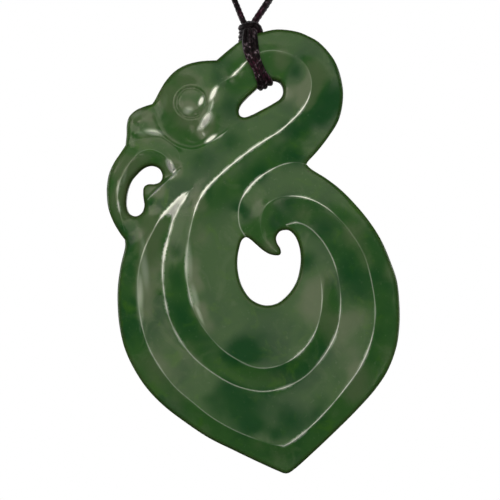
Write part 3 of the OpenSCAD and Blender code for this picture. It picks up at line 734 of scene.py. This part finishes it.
def nephrite():
    """Mottled green, with clouds that are partly painted shade and reflections, a painted olive shade along
    the rounded edge, and painted highlights on the lines.
    """
    looks = Looks("nephrite", Subsurface_Weight=0.25, Subsurface_Scale=0.002,
                  Subsurface_Radius=(0.5, 1.0, 0.4), Specular_IOR_Level=0,
                  Coat_Roughness=0.15, Coat_IOR=1.78)
    cloud_and_painted_light = looks.attribute("cloud_and_painted_light")
    colour = DEEP_GREEN
    for scale, detail, distortion, thinned, low, high, most, tint in STONE_NOISE:
        noise = looks.noise(scale, detail, distortion)
        colour = looks.mix_colours(looks.between(noise - cloud_and_painted_light * thinned, low, high, 0, most), colour, tint)
    ragged = cloud_and_painted_light + (looks.noise(230, detail=5) - 0.5) * 1.2
    dark_and_shade = looks.between(ragged, 0, 1.1)
    pale_and_reflection = looks.between(ragged, -0.1, -1.2)
    # Partly painted light: dark clouds also stand in for shade where the polish reflects nothing, pale
    # clouds for painted reflections.
    colour = looks.mix_colours(dark_and_shade * 0.6, colour, DARK_CLOUD_AND_SHADE)
    colour = looks.mix_colours(pale_and_reflection * 0.7, colour, PALE_CLOUD_AND_REFLECTION)
    rim = looks.attribute("rim")
    # Painted shade: the stone turns darker and olive towards the rounded edge.
    colour = looks.mix_colours(looks.between(rim, 0, 0.8, 0.65, 0), colour, PAINTED_EDGE_SHADE)
    # Painted highlight: pale, partly metallic colour along the carved lines and in the painted glints.
    painted_highlight = looks.between(looks.attribute("painted_highlight"), 0.02, 0.75)
    colour = looks.mix_colours(painted_highlight, colour, looks.mix_colours(painted_highlight, DIM_LINE_HIGHLIGHT, BRIGHT_LINE_HIGHLIGHT))
    looks.set("Base Color", colour)
    looks.set("Metallic", painted_highlight * (painted_highlight * 0.35 + 0.6))
    looks.set("Roughness", painted_highlight * 0.1 + 0.2)
    polished = looks.between(rim, 0.05, 0.55, 0.25, 1)
    looks.set("Coat Weight", (0.41 - dark_and_shade * 0.36 + pale_and_reflection * 0.22) * polished)
    return looks.material


def finished_piece(name, mesh, material, node):
    """An object at the origin, with its material, that stands for a node of the plain model."""
    piece = bpy.data.objects.new(name, mesh)
    bpy.context.scene.collection.objects.link(piece)
    piece.data.materials.append(material)
    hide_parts(node)
    print(name, "triangles", sum(len(p.vertices) - 2 for p in mesh.polygons))
    return piece


jade = finished_piece("jade_manaia", plate_mesh(), nephrite(), "manaia_plate")
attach(jade, "pendant")

# The lashing
# The whole cord is one thin braid of eight waxed yarns. Three turns of it lie side by side down the front of
# the neck loop, pull together towards the cord hole, pass through it and come up the back.

BRAID_STEP = 0.16                        # mm between the rings of points of the neck cord's braid
TIGHT_STEP = 0.1                         # mm, the same where the braid bends tightly
YARN_PITCH = 0.8                         # mm from one yarn to the next along the braid
YARN_COLUMNS = 4                         # rows of slanting yarns round the braid
YARN_DEPTH = 0.2                         # share of the radius that the gaps between yarns go in
YARN_FULLNESS = 0.7                      # 1 is a plain wave from yarn to yarn, less is fuller
YARN_TAIL = 0.3                          # share of its height that a yarn has where it dives under
BRAID_TWIST = 0.12                       # radians that the braid turns for each mm
END_SHARE = 0.35                         # share of its width that a braid has at its very end
END_GROWTH = 0.3                         # share by which it widens with each ring of points
SIDES = 16                               # points round the braid
NEAR_SIDES = 24                          # the same where it is seen from near
# Width of each strand in mm, in even steps from its upper end in front to its upper end behind
STRAND_WIDTHS = [0.93, 0.93, 0.93, 1.08, 1.1, 1.08, 0.93, 0.93, 0.93]

# Columns: depth in mm behind the swing line, then photo x and y of the first, second and third strand
TURNS = [
    (-1.4, 246.6, 29.5, 250.2, 29.5, 253.6, 29.5), (-2.2, 245.8, 33.5, 250.2, 33, 254.4, 33),
    (-2.85, 245, 41, 250.2, 40.5, 255.1, 40), (-3.25, 245.8, 49, 250.9, 48.5, 255.9, 48),
    (-3.4, 248.2, 57, 252.8, 57, 257.3, 56.5), (-3.4, 252.6, 64.5, 256.4, 64.5, 259.7, 64),
    (-3.3, 256.3, 71, 259.3, 71, 262.6, 70.5), (-3.05, 258.4, 77, 261.6, 77, 265.4, 76),
    (-2.6, 260.2, 81.4, 263.9, 80.4, 268, 78.6), (-1.8, 260.6, 85.2, 264.6, 83.8, 269.6, 81),
    (-0.7, 260.8, 86, 264.8, 84.6, 270, 81.6), (0.9, 260.8, 86, 264.8, 84.6, 270, 81.6),
    (2.1, 260.4, 85.2, 264.4, 83.8, 269.4, 80.8), (2.7, 258.8, 81.5, 263, 80.5, 267, 79),
    (2.78, 254.2, 68, 258.8, 67.5, 263.2, 67), (2.78, 249.9, 55, 254.8, 55, 259.4, 55),
    (2.75, 247, 46, 251.8, 46, 256.2, 46), (2.35, 246.2, 39, 250.5, 38.5, 254.8, 38.5),
    (1.2, 246.6, 34, 250.4, 34, 254, 34)]
MIDDLE_PROUD = 0.22                      # mm that the middle strand stands in front of its neighbours
FRONT = -2                               # mm, it does so where it lies further forward than this


def braid_mesh(name, tracks, widths, sides=SIDES):
    """Braids along tracks of points in mm, closed at both ends, with widths in mm at even steps."""
    bm = bmesh.new()
    yarn = bm.verts.layers.float.new("yarn")
    for track in tracks:
        ahead = np.gradient(track, axis=0)
        last = len(track) - 1
        step = np.linalg.norm(ahead[len(track) // 2])
        wide = np.interp(np.linspace(0, 1, len(track)), np.linspace(0, 1, len(widths)), widths)
        out = Vector(ahead[0]).orthogonal()
        frames = []
        for way in ahead:
            way = Vector(way).normalized()
            out = (out - way * out.dot(way)).normalized()
            frames.append((out, way.cross(out)))
        sheet = bmesh.ops.create_grid(bm, x_segments=sides, y_segments=last, size=1)["verts"]
        for v in sheet:
            turn = round((v.co.x + 1) / 2 * sides)
            ring = round((v.co.y + 1) / 2 * last)
            column, across = divmod(turn / sides * YARN_COLUMNS, 1)
            rise = across if column % 2 == 0 else 1 - across
            crown = abs(math.cos(math.pi * (ring * step / YARN_PITCH + rise))) ** YARN_FULLNESS
            v[yarn] = crown * (YARN_TAIL + (1 - YARN_TAIL) * math.sin(math.pi * across))
            tuck = min(1, END_SHARE + END_GROWTH * min(ring, last - ring))
            radius = wide[ring] / 2 * (1 - YARN_DEPTH * (1 - v[yarn])) * tuck
            angle = 2 * math.pi * turn / sides + BRAID_TWIST * ring * step
            across_way, up_way = frames[ring]
            v.co = Vector(track[ring]) + (across_way * math.cos(angle) + up_way * math.sin(angle)) * radius
    bmesh.ops.remove_doubles(bm, verts=bm.verts, dist=0.001)
    bmesh.ops.holes_fill(bm, edges=[e for e in bm.edges if e.is_boundary], sides=0)
    return finished_mesh(bm, name, (0, 0, 0))


YARN_GAP_SHADE = (0.002, 0.0015, 0.002)
BLACK_YARN = (0.012, 0.009, 0.011)
PLUM_YARN = (0.045, 0.009, 0.024)
SPECK_HIGHLIGHT_COLOUR = (0.42, 0.34, 0.4)


def waxed_braid():
    """Black and plum yarns, with painted shade in the gaps between them and pale specks painted on as
    highlights.
    """
    looks = Looks("waxed_braid", Sheen_Weight=0.12, Sheen_Roughness=0.35, Specular_IOR_Level=0.17)
    yarn = looks.attribute("yarn")
    stain = looks.between(looks.noise(330, detail=2), 0.42, 0.62)
    top = looks.mix_colours(stain, BLACK_YARN, PLUM_YARN)
    # Painted highlights: pale specks on the yarns stand in for their glints.
    speck_highlight_area = looks.between(looks.noise(170), 0.4, 0.6, 0.25, 1)
    speck_highlight = looks.between(looks.noise(1300), 0.53, 0.68) * speck_highlight_area
    top = looks.mix_colours(speck_highlight, top, SPECK_HIGHLIGHT_COLOUR)
    # Painted shade: the gaps between the yarns are darker than the yarns themselves.
    looks.set("Base Color", looks.mix_colours(looks.between(yarn, 0.15, 0.8), YARN_GAP_SHADE, top))
    looks.set("Roughness", looks.between(yarn, 0.3, 1, 0.6, 0.36))
    fibres = looks.noise(9000, detail=2)
    bump = looks.node("ShaderNodeBump", {}, {"Strength": 0.35, "Distance": 0.00004, "Height": fibres})
    looks.set("Normal", bump)
    return looks.material


cord_looks = waxed_braid()


def cord_track(rows, step=TIGHT_STEP, start=SWING):
    """The even points, in mm, of a cord that runs through rows of x, y, z in mm from a start in metres."""
    return curve_through([start / MM + Vector(row) for row in rows], step, 3)


for strand in range(3):
    rows = []
    for depth, *places in TURNS:
        x, z = to_mm(places[2 * strand:2 * strand + 2])
        proud = MIDDLE_PROUD if strand == 1 and depth < FRONT else 0
        rows.append((x, depth - proud, z))
    name = f"lashing_strand_{strand + 1}"
    strand_mesh = braid_mesh(name, [cord_track(rows)], STRAND_WIDTHS, NEAR_SIDES)
    lashing = finished_piece(name, strand_mesh, cord_looks, f"lashing_{strand + 1}")
    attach(lashing, "pendant")

# The collar knot
# The cord's own end is wound three times round the strands above the jade and tucked in, and one turn of it
# bulges out on the right before it goes under.

WRAPS = 3.6
WRAP_PITCH = 0.6                         # mm down for each turn
WRAP_TOP = 0.86                          # mm, z of the first turn from the swing point
WRAP_MIDDLE = -0.18                      # mm, x of the wraps' axis from the swing point
WRAP_WIDE = 1.1                          # mm, radius of the wraps from side to side
WRAP_DEEP = 1.22                         # mm, radius of the wraps from front to back
WIND_POINTS = 12                         # points in each turn of a winding
KNOT_WIDTH = 0.98                        # mm, of the cord in the knot

# Columns of the knot's cords: x, y, z in mm from the swing point
wraps = [(0.1, -0.2, 0.62), (0.6, -0.1, 0.75)]
for turn in np.arange(0, WRAPS, 1 / WIND_POINTS):
    angle = 2 * math.pi * turn
    swell = 1 + 0.05 * math.sin(2.3 * turn + 1)      # no two turns are quite the same size
    slant = 0.06 + 0.1 * turn                        # and the lower ones slant more
    wraps.append((WRAP_MIDDLE + WRAP_WIDE * swell * math.cos(angle), -WRAP_DEEP * swell * math.sin(angle),
                  WRAP_TOP - WRAP_PITCH * turn + slant * math.cos(angle)))
wraps += [(0.4, -0.5, -1.35), (-0.2, -0.1, -1.3)]
side_turn = [(0.3, -0.5, 0.8), (0.85, -1.05, 0.75), (1.3, -1.05, 0.42), (1.5, -0.65, -0.1),
             (1.3, -0.1, -0.62), (0.8, 0.2, -0.9)]
inner_turn = [(0.5, -0.7, 0.7), (0.95, -0.95, 0.35), (1.12, -0.95, -0.05), (0.9, -0.7, -0.4),
              (0.5, -0.3, -0.8)]
arm_bridge = [(-0.5, -0.5, 0.7), (-0.25, -0.55, 0.98), (0.15, -0.55, 1.0), (0.45, -0.5, 0.7)]
core = [(WRAP_MIDDLE, 0, z) for z in (0.85, 0.3, -0.6, -1.3)]
turns = [cord_track(rows) for rows in (wraps, side_turn, inner_turn, arm_bridge, core)]
knot_mesh = braid_mesh("wound_knot", turns, [KNOT_WIDTH], NEAR_SIDES)
wound_knot = finished_piece("wound_knot", knot_mesh, cord_looks, "collar_knot")
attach(wound_knot, "pendant")

# The neck cord
# One limp loop of the same braid, about 50 cm round. Both its ends come out of the top of the knot, go up
# over the chest and round the neck.

NAPE = Vector((0, 0, 0))                 # where the loop rests behind the neck
# Width of the loop in mm, in even steps from its left end to its right end
LOOP_WIDTHS = [0.98, 0.98, 0.98, 0.98, 1.16]
# Columns: x, y, z in mm from the nape
LEFT_ROUTE = [
    (-0.35, -119.7, -150.45), (-0.9, -119.2, -149.6), (-2.6, -117.2, -145.5), (-9, -110.2, -133),
    (-20, -97.5, -111.5), (-34, -82, -85), (-47, -67, -60), (-56, -53, -39), (-60, -39, -22),
    (-58, -26, -11), (-50, -14, -4.5), (-36, -5, -1.2), (-20, -1, 0), (-10, -0.1, 0), (-5, 0, 0)]
RIGHT_END = [(3.25, -117.2, -145.5), (0.7, -119.2, -149.6), (0.3, -119.7, -150.45)]
right_route = [(-x, y, z) for x, y, z in reversed(LEFT_ROUTE[3:])] + RIGHT_END
neck_track = cord_track(LEFT_ROUTE + right_route, BRAID_STEP, NAPE)
neck_mesh = braid_mesh("neck_braid", [neck_track], LOOP_WIDTHS)
neck_braid = finished_piece("neck_braid", neck_mesh, cord_looks, "neck_cord")
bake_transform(neck_braid)

# The nape knot
# A plain barrel of the same cord, wound seven times round the loop behind the neck to close it.

BARREL_TURNS = 7
BARREL_PITCH = 1.0                       # mm along the loop for each turn
BARREL_START = -3.55                     # mm, x of the first turn
BARREL_RADIUS = 0.93                     # mm, to the middle of the wound cord
BARREL_WIDTH = 0.86                      # mm, of the wound cord

# Columns: x, y, z in mm from the nape
barrel = [(-3.6, 0, 0.35), (-3.75, 0, 0.7)]
for turn in np.arange(0, BARREL_TURNS, 1 / WIND_POINTS):
    angle = 2 * math.pi * turn
    barrel.append((BARREL_START + BARREL_PITCH * turn, BARREL_RADIUS * math.sin(angle),
                   BARREL_RADIUS * math.cos(angle)))
barrel += [(3.6, 0.3, 0.7), (3.7, 0.2, 0.3)]
barrel_mesh = braid_mesh("nape_barrel", [cord_track(barrel, BRAID_STEP, NAPE)], [BARREL_WIDTH])
nape_barrel = finished_piece("nape_barrel", barrel_mesh, cord_looks, "nape_knot")
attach(nape_barrel, "cord_loop")

# The stage
# A plain white floor that runs into a white backdrop on every side, a soft light tent and the camera.

BACKDROP_RADIUS = 4                      # m
FLOOR_Z = -0.3                           # m
PANELS_Y = -320                          # mm, the soft panels stand in one plane in front of the jade
JADE_MIDDLE_Z = -184                     # mm
PANEL_COLOUR = (1, 0.84, 0.75)
ROOM_AIM = (0, -0.12, -0.185)            # m, the place that the lamps of the room look at
ROOM_LIGHT = 0.06                        # strength of the even light from all round

bm = bmesh.new()
bmesh.ops.create_uvsphere(bm, u_segments=48, v_segments=24, radius=BACKDROP_RADIUS)
bmesh.ops.create_circle(bm, cap_ends=True, segments=48, radius=BACKDROP_RADIUS,
                        matrix=Matrix.Translation((0, 0, FLOOR_Z)))
studio_mesh = bpy.data.meshes.new("white_studio")
bm.to_mesh(studio_mesh)
bm.free()
studio = bpy.data.objects.new("white_studio", studio_mesh)
bpy.context.scene.collection.objects.link(studio)
studio.data.materials.append(Looks("white_paper", Base_Color=(0, 0, 0, 1), Emission_Color=(1, 1, 1, 1),
                                   Emission_Strength=1.0, Specular_IOR_Level=0).material)
studio.visible_glossy = False
studio.visible_diffuse = False


def soft_light(name, at, size, power, colour=(1, 1, 1), aim=ROOM_AIM):
    light = bpy.data.lights.new(name, "AREA")
    light.shape = "RECTANGLE"
    light.size, light.size_y = size
    light.energy = power
    light.color = colour
    lamp = bpy.data.objects.new(name, light)
    lamp.location = at
    lamp.visible_camera = False
    lamp.rotation_euler = (Vector(aim) - Vector(at)).to_track_quat("-Z", "Y").to_euler()
    bpy.context.scene.collection.objects.link(lamp)
    return lamp


# Columns: name, middle x and z in mm from the jade's middle, width, height, radiance
for name, x, z, width, height, radiance in (
        ("panel", 0, 95, 210, 220, 1.12), ("panel_left", -135, 52, 80, 90, 2.3),
        ("low_strip", -30, -114, 180, 40, 0.35), ("key_left", -112, 24, 26, 30, 4),
        ("key_right", 80, -62, 22, 24, 2.5), ("key_low", 20, -65, 30, 24, 2.6),
        ("key_beak", -40, -63, 30, 16, 2)):
    across, up = x * MM, (z + JADE_MIDDLE_Z) * MM
    power = radiance * math.pi * width * height * MM * MM
    soft_light(name, (across, PANELS_Y * MM, up), (width * MM, height * MM), power, PANEL_COLOUR,
               aim=(across, 0, up))

# Columns: name, place, width and height in m, power in W, whether it shows in the polish
for name, place, size, power, seen in (
        ("fill", (0, -0.7, -0.05), (0.3, 0.3), 0.84, False),
        ("back_soft", (0, 0.7, 0.1), (0.6, 0.6), 4, True),
        ("side_soft_left", (-0.7, 0.22, -0.1), (0.4, 0.5), 3.5, True),
        ("side_soft_right", (0.7, 0.22, -0.1), (0.4, 0.5), 3.5, True)):
    soft_light(name, place, size, power).visible_glossy = seen

world = bpy.data.worlds.new("studio")
world.use_nodes = True
world.node_tree.nodes["Background"].inputs["Color"].default_value = (1, 1, 1, 1)
world.node_tree.nodes["Background"].inputs["Strength"].default_value = ROOM_LIGHT
bpy.context.scene.world = world

CAMERA_PLACE = (0.00003, -0.52, -0.18397)
CAMERA_AWAY = 0.3985                     # m from the camera to the jade's face
VIEW_WIDTH = 500 * PHOTO_PX * MM         # m that the picture covers there

camera_data = bpy.data.cameras.new("camera")
camera_data.sensor_width = 36
camera_data.lens = camera_data.sensor_width * CAMERA_AWAY / VIEW_WIDTH
camera = bpy.data.objects.new("camera", camera_data)
camera.location = CAMERA_PLACE
camera.rotation_euler = (math.radians(90), 0, 0)
bpy.context.scene.collection.objects.link(camera)
bpy.context.scene.camera = camera
bpy.context.scene.view_settings.view_transform = "Standard"
